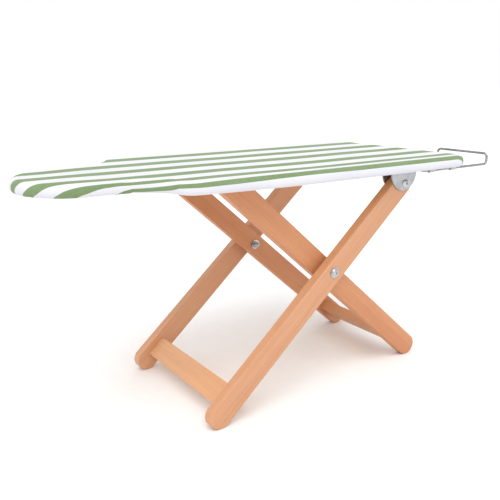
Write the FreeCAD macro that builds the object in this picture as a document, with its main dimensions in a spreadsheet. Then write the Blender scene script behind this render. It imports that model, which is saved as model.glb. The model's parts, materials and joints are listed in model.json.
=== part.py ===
"""Sleeve ironing board on a folding beech stand.

Frame: +Z up, floor at Z = 0, X along the board with the nose at -X, Y across it.
The origin lies on the floor under the middle of the whole object.
"near" is the -Y side and "far" the +Y side.  Sizes are millimetres and degrees.
"""
import FreeCAD, Part
import Sketcher
import math
import os

os.makedirs("parts", exist_ok=True)
doc = FreeCAD.newDocument("sleeve_ironing_board")

# ---------------------------------------------------------------- driving dimensions
DIMENSIONS = dict(
    # stand
    pivot_x=48.0, pivot_z=189.3, lean=41.0,
    leg_width=34.0, leg_thick=16.0, leg_ease=1.5,
    frame_a_half=121.0, frame_b_half=96.5,
    hinge_reach=182.0, rod_z=317.0, leg_b_top_z=328.5,
    stretcher_width=34.0, stretcher_thick=16.0, stretcher_set_back=1.8,
    stretcher_a_reach=236.4, stretcher_b_reach=229.0,
    dowel_radius=4.0, dowel_length=30.0, dowel_in_leg=10.0, dowel_spacing=18.0,
    rod_radius=4.0, rod_in_leg=10.0,
    # bolts, washers and cap nuts
    bolt_radius=3.0, running_gap=0.06, side_gap=0.3,
    head_radius=6.2, head_height=3.6, head_rim=0.7, socket_across=4.0, socket_depth=2.0,
    washer_radius=8.0, washer_thick=1.2, spacer_radius=6.0,
    nut_across=10.0, nut_height=4.6, nut_dome=4.4,
    # board
    board_bottom_z=331.0, core_thick=9.0, pad_thick=6.0, cloth=1.0,
    hem_width=8.0, hem_thick=1.8, elastic_width=3.0, elastic_thick=1.6,
    core_inset=7.0, top_round=9.0, under_round=7.0,
    nose_radius=77.0, nose_x=-289.0, nose_flare=2.0,
    inner_curve=58.0, shoulder_curve=24.0, shoulder_x=-182.0,
    sweep_curve=1150.0, sweep_x=-3.0,
    half_width=152.0, end_x=303.0, corner_curve=28.0,
    # hinge brackets
    sheet=2.0, bracket_gap=0.4, ear_radius=26.5, ear_shift=3.0, ear_bottom_z=298.0,
    bracket_screw_span=34.0,
    # catch plates for the cross rod
    catch_sheet=2.5, catch_half=72.5, catch_flange=20.0, catch_back=14.0, catch_front=16.0,
    catch_depth=25.0, catch_slack=0.4, catch_lip=0.6, catch_rise=3.0, catch_screw_half=60.0,
    catch_screw_span=18.0,
    # wire iron rest
    wire_radius=2.0, rest_near=137.5, rest_far=38.0, rest_end_x=364.0, rest_start_x=213.0,
    rest_low_z=327.0, rest_high_z=344.0, rest_bend=6.0, rest_hook=14.0,
    clip_length=12.0, clip_wall=1.3, clip_tab=14.0, clip_tab_thick=1.2, clip_screw=9.5,
    clip_front_x=276.0, clip_back_x=226.0,
    # wood screws
    screw_radius=1.6, screw_head=3.2, screw_head_height=1.6, screw_bite=7.0, pilot_depth=8.0,
)
sheet = doc.addObject("Spreadsheet::Sheet", "dims")
for row, (alias, value) in enumerate(DIMENSIONS.items(), start=1):
    sheet.set(f"A{row}", alias)
    sheet.set(f"B{row}", str(value))
    sheet.setAlias(f"B{row}", alias)
doc.recompute()

# Places that several pieces share, worked out from the sheet in expressions.
LEAN = "dims.lean * 1deg"
HINGE_X = f"dims.pivot_x + dims.hinge_reach * cos({LEAN})"
HINGE_Z = f"dims.pivot_z + dims.hinge_reach * sin({LEAN})"
ROD_REACH = f"(dims.rod_z - dims.pivot_z) / sin({LEAN})"
ROD_X = f"dims.pivot_x - (dims.rod_z - dims.pivot_z) / tan({LEAN})"
FOOT_REACH = f"(dims.pivot_z - dims.leg_width / 2) / sin({LEAN})"
CLOTH_BOTTOM_Z = "dims.board_bottom_z - dims.hem_thick"
PAD_TOP_Z = "dims.board_bottom_z + dims.core_thick + dims.pad_thick"
PAD_UNDER_ROUND = "dims.under_round - dims.hem_thick"
EAR_FACE = "dims.frame_a_half + dims.bracket_gap + dims.sheet"
BRACKET_WIDTH = "dims.leg_thick + 2 * dims.bracket_gap + 2 * dims.sheet"


def value(expression):
    """The number that an expression in the sheet's aliases comes to."""
    result = sheet.evalExpression(expression)
    return float(getattr(result, "Value", result))


# ---------------------------------------------------------------- modelling helpers
def new_body(node, x="0", y="0", z="0", axis=(0, 1, 0), angle="0"):
    """A body whose label is its node name, placed by expressions."""
    body = doc.addObject("PartDesign::Body", node)
    body.Label = node
    body.Placement = FreeCAD.Placement(
        FreeCAD.Vector(0, 0, 0), FreeCAD.Rotation(FreeCAD.Vector(*axis), value(angle)))
    for path, expression in (("x", x), ("y", y), ("z", z)):
        body.setExpression(f"Placement.Base.{path}", expression)
    if angle != "0":
        body.setExpression("Placement.Rotation.Angle", angle)
    return body


def new_sketch(body, role, offset="0"):
    """A sketch on one of the body's own origin planes, moved along its normal."""
    plane = next(item for item in body.Origin.OriginFeatures if item.Role == role)
    sketch = body.newObject("Sketcher::SketchObject", f"{body.Name}_sketch")
    sketch.AttachmentSupport = [(plane, "")]
    sketch.MapMode = "FlatFace"
    if offset != "0":
        sketch.AttachmentOffset = FreeCAD.Placement(
            FreeCAD.Vector(0, 0, value(offset)), FreeCAD.Rotation())
        sketch.setExpression("AttachmentOffset.Base.z", offset)
    return sketch


def bind(sketch, kind, *places, to):
    """Add a dimension to the sketch and bind it to an expression."""
    index = sketch.addConstraint(Sketcher.Constraint(kind, *places, value(to)))
    sketch.setExpression(f"Constraints[{index}]", to)


def fix_point(sketch, geometry, end, x, y):
    bind(sketch, "DistanceX", geometry, end, to=x)
    bind(sketch, "DistanceY", geometry, end, to=y)


def add_polygon(sketch, corners):
    """A closed outline whose corners are pairs of expressions."""
    points = [FreeCAD.Vector(value(x), value(y), 0) for x, y in corners]
    first = sketch.GeometryCount
    for start, end in zip(points, points[1:] + points[:1]):
        sketch.addGeometry(Part.LineSegment(start, end), False)
    for index, (x, y) in enumerate(corners):
        following = first + (index + 1) % len(corners)
        sketch.addConstraint(Sketcher.Constraint("Coincident", first + index, 2, following, 1))
        fix_point(sketch, first + index, 1, x, y)


def add_circle(sketch, x, y, radius):
    centre = FreeCAD.Vector(value(x), value(y), 0)
    index = sketch.addGeometry(
        Part.Circle(centre, FreeCAD.Vector(0, 0, 1), value(radius)), False)
    fix_point(sketch, index, 3, x, y)
    bind(sketch, "Radius", index, to=radius)


def pad(body, sketch, length, midplane=False, reverse=False):
    feature = body.newObject("PartDesign::Pad", f"{body.Name}_pad")
    feature.Profile = sketch
    feature.Midplane = midplane
    feature.Reversed = reverse
    feature.setExpression("Length", length)
    doc.recompute()
    return feature


def pocket(body, sketch, length=None, midplane=False, reverse=False):
    """Cut a sketch out of the body; no length means right through."""
    before = body.Shape.Volume
    feature = body.newObject("PartDesign::Pocket", f"{body.Name}_pocket")
    feature.Profile = sketch
    feature.Midplane = midplane
    feature.Reversed = reverse
    if length is None:
        feature.Type = "ThroughAll"
    else:
        feature.setExpression("Length", length)
    doc.recompute()
    if body.Shape.Volume > before - 1e-3:
        raise RuntimeError(f"a pocket in {body.Label} cuts nothing")
    return feature


def round_edges(body, radius, wanted):
    """Fillet the edges of the body that the test picks."""
    base = body.Tip
    names = [f"Edge{i}" for i, edge in enumerate(base.Shape.Edges, start=1) if wanted(edge)]
    feature = body.newObject("PartDesign::Fillet", f"{body.Name}_fillet")
    feature.Base = (base, names)
    feature.setExpression("Radius", radius)
    doc.recompute()
    return feature


def mirror_across_board(body):
    """Complete a half that was built on the +Y side."""
    plane = next(item for item in body.Origin.OriginFeatures if item.Role == "XZ_Plane")
    feature = body.newObject("PartDesign::Mirrored", f"{body.Name}_mirror")
    feature.TransformMode = "Whole shape"
    feature.MirrorPlane = (plane, [""])
    body.Tip = feature
    doc.recompute()
    return feature


def sides():
    """Each side's name and its sign along Y."""
    return (("near", -1), ("far", 1))


# ---------------------------------------------------------------- the board's outline
def add_board_outline(sketch, inset):
    """Half of the plan outline, drawn in from the cloth's edge by an inset.

    Nose arc, flaring side, inner curve, shoulder, long sweep, straight side, corner
    and end, all tangent; the long axis closes it.
    """
    nose = value(f"dims.nose_radius - {inset}")
    inner = value(f"dims.inner_curve + {inset}")
    shoulder = value(f"dims.shoulder_curve - {inset}")
    sweep = value(f"dims.sweep_curve - {inset}")
    corner = value(f"dims.corner_curve - {inset}")
    half = value(f"dims.half_width - {inset}")
    end_x = value(f"dims.end_x - {inset}")
    nose_x, shoulder_x, sweep_x = (value(f"dims.{n}") for n in ("nose_x", "shoulder_x", "sweep_x"))
    flare = math.radians(value("dims.nose_flare"))

    shoulder_y = half - sweep + math.sqrt((sweep - shoulder) ** 2 - (sweep_x - shoulder_x) ** 2)
    along = FreeCAD.Vector(math.cos(flare), math.sin(flare), 0)
    across = FreeCAD.Vector(-math.sin(flare), math.cos(flare), 0)
    nose_centre = FreeCAD.Vector(nose_x, 0, 0)
    shoulder_centre = FreeCAD.Vector(shoulder_x, shoulder_y, 0)
    sweep_centre = FreeCAD.Vector(sweep_x, half - sweep, 0)
    corner_centre = FreeCAD.Vector(end_x - corner, half - corner, 0)
    flare_end_side = nose_centre + across * (nose + inner)
    to_shoulder = shoulder_centre - flare_end_side
    offset = to_shoulder.dot(across)
    run = to_shoulder.dot(along) - math.sqrt((inner + shoulder) ** 2 - offset ** 2)
    inner_centre = flare_end_side + along * run

    tip = nose_centre - FreeCAD.Vector(nose, 0, 0)
    flare_start = nose_centre + across * nose
    flare_end = inner_centre - across * inner
    toward_shoulder = (shoulder_centre - inner_centre).normalize()
    inner_end = inner_centre + toward_shoulder * inner
    from_sweep = (shoulder_centre - sweep_centre).normalize()
    shoulder_end = sweep_centre + from_sweep * sweep
    side_start = FreeCAD.Vector(sweep_x, half, 0)
    side_end = FreeCAD.Vector(end_x - corner, half, 0)
    end_start = FreeCAD.Vector(end_x, half - corner, 0)
    end_middle = FreeCAD.Vector(end_x, 0, 0)

    def arc(centre, radius, start, end):
        first, last = (math.atan2(p.y - centre.y, p.x - centre.x) for p in (start, end))
        circle = Part.Circle(centre, FreeCAD.Vector(0, 0, 1), radius)
        return Part.ArcOfCircle(circle, first, last if last > first else last + 2 * math.pi)

    pieces = [
        arc(nose_centre, nose, flare_start, tip),
        Part.LineSegment(flare_start, flare_end),
        arc(inner_centre, inner, flare_end, inner_end),
        arc(shoulder_centre, shoulder, shoulder_end, inner_end),
        arc(sweep_centre, sweep, side_start, shoulder_end),
        Part.LineSegment(side_start, side_end),
        arc(corner_centre, corner, end_start, side_end),
        Part.LineSegment(end_start, end_middle),
        Part.LineSegment(end_middle, tip),
    ]
    nose_g, flare_g, inner_g, shoulder_g, sweep_g, side_g, corner_g, end_g, axis_g = (
        sketch.addGeometry(piece, False) for piece in pieces)
    start, end, centre = 1, 2, 3
    for a, a_end, b, b_end in (
            (nose_g, start, flare_g, start), (flare_g, end, inner_g, start),
            (inner_g, end, shoulder_g, end), (shoulder_g, start, sweep_g, end),
            (sweep_g, start, side_g, start), (side_g, end, corner_g, end),
            (corner_g, start, end_g, start)):
        sketch.addConstraint(Sketcher.Constraint("Tangent", a, a_end, b, b_end))
    sketch.addConstraint(Sketcher.Constraint("Coincident", end_g, end, axis_g, start))
    sketch.addConstraint(Sketcher.Constraint("Coincident", axis_g, end, nose_g, end))
    sketch.addConstraint(Sketcher.Constraint("Horizontal", axis_g))
    sketch.addConstraint(Sketcher.Constraint("Horizontal", side_g))
    sketch.addConstraint(Sketcher.Constraint("Vertical", end_g))
    fix_point(sketch, nose_g, centre, "dims.nose_x", "0")
    fix_point(sketch, end_g, end, f"dims.end_x - {inset}", "0")
    bind(sketch, "DistanceY", side_g, start, to=f"dims.half_width - {inset}")
    bind(sketch, "DistanceX", side_g, start, to="dims.sweep_x")
    bind(sketch, "DistanceX", shoulder_g, centre, to="dims.shoulder_x")
    bind(sketch, "Angle", flare_g, to="dims.nose_flare * 1deg")
    bind(sketch, "Radius", nose_g, to=f"dims.nose_radius - {inset}")
    bind(sketch, "Radius", inner_g, to=f"dims.inner_curve + {inset}")
    bind(sketch, "Radius", shoulder_g, to=f"dims.shoulder_curve - {inset}")
    bind(sketch, "Radius", sweep_g, to=f"dims.sweep_curve - {inset}")
    bind(sketch, "Radius", corner_g, to=f"dims.corner_curve - {inset}")


def board_half(body, inset, bottom, height):
    sketch = new_sketch(body, "XY_Plane", bottom)
    add_board_outline(sketch, inset)
    return pad(body, sketch, height)


def outline_edges_at(height):
    """A test for the edges round a level face, leaving out the one on the long axis."""
    def wanted(edge):
        box = edge.BoundBox
        return abs(box.ZMin - height) < 0.01 and abs(box.ZMax - height) < 0.01 and box.YMax > 0.01
    return wanted


# ---------------------------------------------------------------- board, pad and cover
def board_screw_places():
    """Every wood screw under the board: x, y and the thickness that it holds."""
    places = []
    for _, side in sides():
        for end in (-1, 1):
            places.append((f"{HINGE_X} - dims.ear_shift + {end} * dims.bracket_screw_span / 2",
                           f"{side} * (dims.frame_a_half - dims.leg_thick / 2)", "dims.sheet"))
            places.append((f"{ROD_X} + {end} * dims.catch_screw_span / 2 + 1",
                           f"{side} * dims.catch_screw_half", "dims.catch_sheet"))
    for x in ("dims.clip_back_x", "dims.clip_front_x"):
        places.append((x, "-dims.rest_near + dims.clip_screw", "dims.clip_tab_thick"))
        places.append((x, "-dims.rest_far - dims.clip_screw", "dims.clip_tab_thick"))
    return places


def board_core():
    body = new_body("board_core")
    board_half(body, "dims.core_inset", "dims.board_bottom_z", "dims.core_thick")
    mirror_across_board(body)
    pilots = new_sketch(body, "XY_Plane", "dims.board_bottom_z")
    for x, y, _ in board_screw_places():
        add_circle(pilots, x, y, "dims.screw_radius")
    pocket(body, pilots, "dims.pilot_depth", reverse=True)
    return body


def board_pad():
    """The felt over the core's top and round its edge."""
    body = new_body("board_pad")
    board_half(body, "dims.cloth", "dims.board_bottom_z", "dims.core_thick + dims.pad_thick")
    round_edges(body, "dims.top_round - dims.cloth", outline_edges_at(value(PAD_TOP_Z)))
    bottom = value("dims.board_bottom_z")
    round_edges(body, PAD_UNDER_ROUND, outline_edges_at(bottom))
    seat = new_sketch(body, "XY_Plane", "dims.board_bottom_z")
    add_board_outline(seat, "dims.core_inset")
    pocket(body, seat, "dims.core_thick", reverse=True)
    mirror_across_board(body)
    return body


def board_cover():
    """The cloth: a thin tray upside down, with a hem turned in under the core."""
    body = new_body("board_cover")
    board_half(body, "0", CLOTH_BOTTOM_Z, f"{PAD_TOP_Z} + dims.cloth - ({CLOTH_BOTTOM_Z})")
    hollow = new_sketch(body, "XY_Plane", "dims.board_bottom_z")
    add_board_outline(hollow, "dims.cloth")
    pocket(body, hollow, "dims.core_thick + dims.pad_thick", reverse=True)
    round_edges(body, "dims.top_round - dims.cloth", outline_edges_at(value(PAD_TOP_Z)))
    round_edges(body, PAD_UNDER_ROUND, outline_edges_at(value("dims.board_bottom_z")))
    round_edges(body, "dims.top_round", outline_edges_at(value(f"{PAD_TOP_Z} + dims.cloth")))
    round_edges(body, "dims.under_round", outline_edges_at(value(CLOTH_BOTTOM_Z)))
    mouth = new_sketch(body, "XY_Plane", CLOTH_BOTTOM_Z)
    add_board_outline(mouth, "dims.hem_width")
    pocket(body, mouth, "dims.hem_thick", reverse=True)
    mirror_across_board(body)
    return body


def hem_elastic():
    """The elastic braid along the hem's inner edge, which draws the cover tight."""
    body = new_body("hem_elastic")
    bottom = "dims.board_bottom_z - dims.elastic_thick"
    board_half(body, "dims.hem_width", bottom, "dims.elastic_thick")
    inside = new_sketch(body, "XY_Plane", bottom)
    add_board_outline(inside, "(dims.hem_width + dims.elastic_width)")
    pocket(body, inside, "dims.elastic_thick", reverse=True)
    mirror_across_board(body)
    return body


# ---------------------------------------------------------------- wooden stand
def leg_frame_body(node, frame, y="0"):
    """A body in a leg frame's own axes: x along the legs from the pivot, z across them.

    Frame A's +x runs up to the hinge; frame B's +x runs down to its feet.
    """
    angle = "-dims.lean" if frame == "a" else "dims.lean"
    return new_body(node, x="dims.pivot_x", y=y, z="dims.pivot_z", angle=angle)


def leg_edge_test(body, bore_radii):
    """The long and rounded outer edges of a leg, without the rims of its bores."""
    half = value("dims.leg_thick") / 2

    def wanted(edge):
        box = edge.BoundBox
        on_face = box.YMax - box.YMin < 0.01 and abs(abs(box.YMin) - half) < 0.01
        curve = edge.Curve
        rim = isinstance(curve, Part.Circle) and any(abs(curve.Radius - r) < 0.01 for r in bore_radii)
        return on_face and not rim
    return wanted


def drill_for_dowels(body, side, reach, blind="dims.dowel_in_leg"):
    """Blind holes for two dowels in a leg's inner face."""
    offset = f"{side} * dims.leg_thick / 2"
    sketch = new_sketch(body, "XZ_Plane", offset)
    for step in (-1, 1):
        add_circle(sketch, f"{reach} + {step} * dims.dowel_spacing / 2",
                   "-dims.stretcher_set_back", "dims.dowel_radius")
    pocket(body, sketch, blind, reverse=side < 0)


def leg_a(name, side):
    """An outer leg: half-round at the foot and at the hinge."""
    y = f"{side} * (dims.frame_a_half - dims.leg_thick / 2)"
    body = leg_frame_body(f"leg_a_{name}", "a", y)
    sketch = new_sketch(body, "XZ_Plane")
    half = "dims.leg_width / 2"
    radius = value(half)
    foot, hinge = value(f"-({FOOT_REACH})"), value("dims.hinge_reach")
    up, normal = FreeCAD.Vector(0, 1, 0), FreeCAD.Vector(0, 0, 1)
    foot_centre, hinge_centre = FreeCAD.Vector(foot, 0, 0), FreeCAD.Vector(hinge, 0, 0)
    foot_g = sketch.addGeometry(Part.ArcOfCircle(
        Part.Circle(foot_centre, normal, radius), math.pi / 2, 3 * math.pi / 2), False)
    low_g = sketch.addGeometry(Part.LineSegment(
        foot_centre - up * radius, hinge_centre - up * radius), False)
    hinge_g = sketch.addGeometry(Part.ArcOfCircle(
        Part.Circle(hinge_centre, normal, radius), -math.pi / 2, math.pi / 2), False)
    high_g = sketch.addGeometry(Part.LineSegment(
        hinge_centre + up * radius, foot_centre + up * radius), False)
    for a, b in ((foot_g, low_g), (low_g, hinge_g), (hinge_g, high_g), (high_g, foot_g)):
        sketch.addConstraint(Sketcher.Constraint("Tangent", a, 2, b, 1))
    fix_point(sketch, foot_g, 3, f"-({FOOT_REACH})", "0")
    fix_point(sketch, hinge_g, 3, "dims.hinge_reach", "0")
    bind(sketch, "Radius", foot_g, to=half)
    bore = "dims.bolt_radius + dims.running_gap"
    add_circle(sketch, "0", "0", "dims.bolt_radius")
    add_circle(sketch, "dims.hinge_reach", "0", bore)
    pad(body, sketch, "dims.leg_thick", midplane=True)
    round_edges(body, "dims.leg_ease", leg_edge_test(body, [value("dims.bolt_radius"), value(bore)]))
    drill_for_dowels(body, side, "-dims.stretcher_a_reach")
    return body


def leg_b(name, side):
    """An inner leg: half-round foot, a top end cut level, and a blind bore for the rod."""
    y = f"{side} * (dims.frame_b_half - dims.leg_thick / 2)"
    body = leg_frame_body(f"leg_b_{name}", "b", y)
    sketch = new_sketch(body, "XZ_Plane")
    half = "dims.leg_width / 2"
    radius, foot = value(half), value(FOOT_REACH)
    cut = f"(dims.leg_b_top_z - dims.pivot_z) / sin({LEAN})"
    slant = f"{half} / tan({LEAN})"
    low_x, high_x = f"-({cut}) - {slant}", f"-({cut}) + {slant}"
    foot_centre = FreeCAD.Vector(foot, 0, 0)
    up, normal = FreeCAD.Vector(0, 1, 0), FreeCAD.Vector(0, 0, 1)
    low_end = FreeCAD.Vector(value(low_x), -radius, 0)
    high_end = FreeCAD.Vector(value(high_x), radius, 0)
    foot_g = sketch.addGeometry(Part.ArcOfCircle(
        Part.Circle(foot_centre, normal, radius), -math.pi / 2, math.pi / 2), False)
    high_g = sketch.addGeometry(Part.LineSegment(foot_centre + up * radius, high_end), False)
    cut_g = sketch.addGeometry(Part.LineSegment(high_end, low_end), False)
    low_g = sketch.addGeometry(Part.LineSegment(low_end, foot_centre - up * radius), False)
    sketch.addConstraint(Sketcher.Constraint("Tangent", foot_g, 2, high_g, 1))
    sketch.addConstraint(Sketcher.Constraint("Coincident", high_g, 2, cut_g, 1))
    sketch.addConstraint(Sketcher.Constraint("Coincident", cut_g, 2, low_g, 1))
    sketch.addConstraint(Sketcher.Constraint("Tangent", low_g, 2, foot_g, 1))
    sketch.addConstraint(Sketcher.Constraint("Horizontal", high_g))
    sketch.addConstraint(Sketcher.Constraint("Horizontal", low_g))
    fix_point(sketch, foot_g, 3, FOOT_REACH, "0")
    bind(sketch, "Radius", foot_g, to=half)
    bind(sketch, "DistanceX", high_g, 2, to=high_x)
    bind(sketch, "DistanceX", low_g, 1, to=low_x)
    bore = "dims.bolt_radius + dims.running_gap"
    add_circle(sketch, "0", "0", bore)
    pad(body, sketch, "dims.leg_thick", midplane=True)
    round_edges(body, "dims.leg_ease", leg_edge_test(body, [value(bore)]))
    rod_bore = new_sketch(body, "XZ_Plane", f"{side} * dims.leg_thick / 2")
    add_circle(rod_bore, f"-({ROD_REACH})", "0", "dims.rod_radius")
    pocket(body, rod_bore, "dims.rod_in_leg", reverse=side < 0)
    drill_for_dowels(body, side, "dims.stretcher_b_reach")
    return body


def stretcher(frame):
    """The flat rail between two legs, near their feet, drilled at its ends for dowels."""
    body = leg_frame_body(f"stretcher_{frame}", frame)
    reach = "-dims.stretcher_a_reach" if frame == "a" else "dims.stretcher_b_reach"
    inner = f"(dims.frame_{frame}_half - dims.leg_thick)"
    sketch = new_sketch(body, "XZ_Plane")
    left, right = (f"{reach} {sign} dims.stretcher_width / 2" for sign in "-+")
    low, high = (f"-dims.stretcher_set_back {sign} dims.stretcher_thick / 2" for sign in "-+")
    add_polygon(sketch, [(left, low), (right, low), (right, high), (left, high)])
    pad(body, sketch, f"2 * {inner}", midplane=True)
    for _, side in sides():
        ends = new_sketch(body, "XZ_Plane", f"{-side} * {inner}")
        for step in (-1, 1):
            add_circle(ends, f"{reach} + {step} * dims.dowel_spacing / 2",
                       "-dims.stretcher_set_back", "dims.dowel_radius")
        pocket(body, ends, "dims.dowel_length - dims.dowel_in_leg", reverse=side > 0)
    return body


def stretcher_dowels(frame):
    """Four dowels: two in each end of a stretcher."""
    reach = "-dims.stretcher_a_reach" if frame == "a" else "dims.stretcher_b_reach"
    turn = "-dims.lean" if frame == "a" else "dims.lean"
    start = f"(dims.frame_{frame}_half - dims.leg_thick + dims.dowel_in_leg)"
    pins = []
    for name, side in sides():
        for step in (-1, 1):
            pin = doc.addObject("Part::Cylinder", f"dowel_{frame}_{name}")
            pin.setExpression("Radius", "dims.dowel_radius")
            pin.setExpression("Height", "dims.dowel_length")
            pin.Placement.Rotation = FreeCAD.Rotation(FreeCAD.Vector(1, 0, 0), 90)
            pin.setExpression("Placement.Base.x", f"{reach} + {step} * dims.dowel_spacing / 2")
            pin.setExpression("Placement.Base.y",
                              start if side > 0 else f"dims.dowel_length - {start}")
            pin.setExpression("Placement.Base.z", "-dims.stretcher_set_back")
            pins.append(pin)
    group = doc.addObject("Part::Compound", f"stretcher_{frame}_dowels")
    group.Label = f"stretcher_{frame}_dowels"
    group.Links = pins
    group.Placement.Rotation = FreeCAD.Rotation(FreeCAD.Vector(0, 1, 0), value(turn))
    group.setExpression("Placement.Rotation.Angle", turn)
    group.setExpression("Placement.Base.x", "dims.pivot_x")
    group.setExpression("Placement.Base.z", "dims.pivot_z")
    return group


def catch_rod():
    """The steel rod across the tops of frame B, let into both legs from inside."""
    body = leg_frame_body("catch_rod", "b")
    sketch = new_sketch(body, "XZ_Plane")
    add_circle(sketch, f"-({ROD_REACH})", "0", "dims.rod_radius")
    pad(body, sketch, "2 * (dims.frame_b_half - dims.leg_thick + dims.rod_in_leg)", midplane=True)
    return body


# ---------------------------------------------------------------- bolts, nuts and washers
def outward_body(node, side, x, face, z):
    """A body whose own +z points outward along Y, with its origin on a face."""
    return new_body(node, x=x, y=f"{side} * ({face})", z=z,
                    axis=(1, 0, 0), angle="90" if side < 0 else "-90")


def button_bolt(node, side, x, z, face, length):
    """A domed socket-head bolt; its head sits on the face and its shank points inward."""
    body = outward_body(node, side, x, face, z)
    sketch = new_sketch(body, "XZ_Plane")
    rim, top = value("dims.head_rim"), value("dims.head_height")
    head, shank, end = value("dims.head_radius"), value("dims.bolt_radius"), -value(length)
    corners = [(0, top), (0, end), (shank, end), (shank, 0), (head, 0), (head, rim)]
    points = [FreeCAD.Vector(x_, y_, 0) for x_, y_ in corners]
    lines = [sketch.addGeometry(Part.LineSegment(a, b), False) for a, b in zip(points, points[1:])]
    drop = (head ** 2 - (top - rim) ** 2) / (2 * (top - rim))
    centre = FreeCAD.Vector(0, rim - drop, 0)
    dome_radius = top - centre.y
    start = math.asin((rim - centre.y) / dome_radius)
    dome = sketch.addGeometry(Part.ArcOfCircle(
        Part.Circle(centre, FreeCAD.Vector(0, 0, 1), dome_radius), start, math.pi / 2), False)
    for a, b in zip(lines, lines[1:]):
        sketch.addConstraint(Sketcher.Constraint("Coincident", a, 2, b, 1))
    sketch.addConstraint(Sketcher.Constraint("Coincident", lines[-1], 2, dome, 1))
    sketch.addConstraint(Sketcher.Constraint("Coincident", dome, 2, lines[0], 1))
    fix_point(sketch, lines[0], 1, "0", "dims.head_height")
    fix_point(sketch, lines[1], 1, "0", f"-({length})")
    fix_point(sketch, lines[2], 1, "dims.bolt_radius", f"-({length})")
    fix_point(sketch, lines[3], 1, "dims.bolt_radius", "0")
    fix_point(sketch, lines[4], 1, "dims.head_radius", "0")
    fix_point(sketch, lines[4], 2, "dims.head_radius", "dims.head_rim")
    bind(sketch, "DistanceX", dome, 3, to="0")
    turned = body.newObject("PartDesign::Revolution", f"{body.Name}_turned")
    turned.Profile = sketch
    turned.ReferenceAxis = (sketch, ["V_Axis"])
    turned.Angle = 360
    doc.recompute()
    socket = new_sketch(body, "XY_Plane", "dims.head_height")
    reach = "dims.socket_across / (2 * cos(30deg))"
    add_polygon(socket, [(f"{reach} * cos({60 * i}deg)", f"{reach} * sin({60 * i}deg)")
                         for i in range(6)])
    pocket(body, socket, "dims.socket_depth")
    return body


def cap_nut(node, side, x, z, face, bore_depth="dims.nut_height"):
    """A domed hexagon nut whose open face sits on the face; it points inward."""
    body = new_body(node, x=x, y=f"{side} * ({face})", z=z,
                    axis=(1, 0, 0), angle="-90" if side < 0 else "90")
    hexagon = new_sketch(body, "XY_Plane")
    reach = "dims.nut_across / (2 * cos(30deg))"
    add_polygon(hexagon, [(f"{reach} * cos({60 * i}deg)", f"{reach} * sin({60 * i}deg)")
                          for i in range(6)])
    pad(body, hexagon, "dims.nut_height")
    sketch = new_sketch(body, "XZ_Plane")
    radius, base = value("dims.nut_dome"), value("dims.nut_height")
    centre = FreeCAD.Vector(0, base, 0)
    axis_g = sketch.addGeometry(Part.LineSegment(
        FreeCAD.Vector(0, base + radius, 0), centre), False)
    base_g = sketch.addGeometry(Part.LineSegment(centre, FreeCAD.Vector(radius, base, 0)), False)
    dome_g = sketch.addGeometry(Part.ArcOfCircle(
        Part.Circle(centre, FreeCAD.Vector(0, 0, 1), radius), 0, math.pi / 2), False)
    sketch.addConstraint(Sketcher.Constraint("Coincident", axis_g, 2, base_g, 1))
    sketch.addConstraint(Sketcher.Constraint("Coincident", base_g, 2, dome_g, 1))
    sketch.addConstraint(Sketcher.Constraint("Coincident", dome_g, 2, axis_g, 1))
    sketch.addConstraint(Sketcher.Constraint("Coincident", dome_g, 3, axis_g, 2))
    sketch.addConstraint(Sketcher.Constraint("Vertical", axis_g))
    sketch.addConstraint(Sketcher.Constraint("Horizontal", base_g))
    fix_point(sketch, axis_g, 2, "0", "dims.nut_height")
    bind(sketch, "Radius", dome_g, to="dims.nut_dome")
    dome = body.newObject("PartDesign::Revolution", f"{body.Name}_dome")
    dome.Profile = sketch
    dome.ReferenceAxis = (sketch, ["V_Axis"])
    dome.Angle = 360
    doc.recompute()
    bore = new_sketch(body, "XY_Plane")
    add_circle(bore, "0", "0", "dims.bolt_radius")
    pocket(body, bore, bore_depth, reverse=True)
    return body


def ring(node, side, face, thick, radius):
    """A washer or spacer on a pivot bolt, from the face outward by its thickness."""
    body = outward_body(node, side, "dims.pivot_x", face, "dims.pivot_z")
    sketch = new_sketch(body, "XY_Plane")
    add_circle(sketch, "0", "0", radius)
    add_circle(sketch, "0", "0", "dims.bolt_radius")
    pad(body, sketch, thick)
    return body


def pivot_hardware(name, side):
    """What holds the two frames together on one side, from outside to inside."""
    outer = "dims.frame_a_half + dims.washer_thick"
    a_inner = "dims.frame_a_half - dims.leg_thick"
    b_outer = "dims.frame_b_half"
    b_inner = "dims.frame_b_half - dims.leg_thick"
    nut_face = f"{b_inner} - dims.side_gap - dims.washer_thick"
    return [
        ring(f"pivot_head_washer_{name}", side, "dims.frame_a_half", "dims.washer_thick",
             "dims.washer_radius"),
        ring(f"pivot_spacer_{name}", side, f"{b_outer} + dims.side_gap",
             f"{a_inner} - ({b_outer}) - dims.side_gap", "dims.spacer_radius"),
        ring(f"pivot_nut_washer_{name}", side, nut_face, "dims.washer_thick",
             "dims.washer_radius"),
        button_bolt(f"pivot_bolt_{name}", side, "dims.pivot_x", "dims.pivot_z", outer,
                    f"{outer} - ({nut_face}) + dims.nut_height"),
        cap_nut(f"pivot_nut_{name}", side, "dims.pivot_x", "dims.pivot_z", nut_face),
    ]


def hinge_hardware(name, side):
    """The bolt and nut that carry a bracket on top of an outer leg."""
    inner_face = f"{EAR_FACE} - ({BRACKET_WIDTH})"
    return [
        button_bolt(f"hinge_bolt_{name}", side, HINGE_X, HINGE_Z, EAR_FACE,
                    f"{BRACKET_WIDTH} + dims.nut_height"),
        cap_nut(f"hinge_nut_{name}", side, HINGE_X, HINGE_Z, inner_face),
    ]


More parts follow.
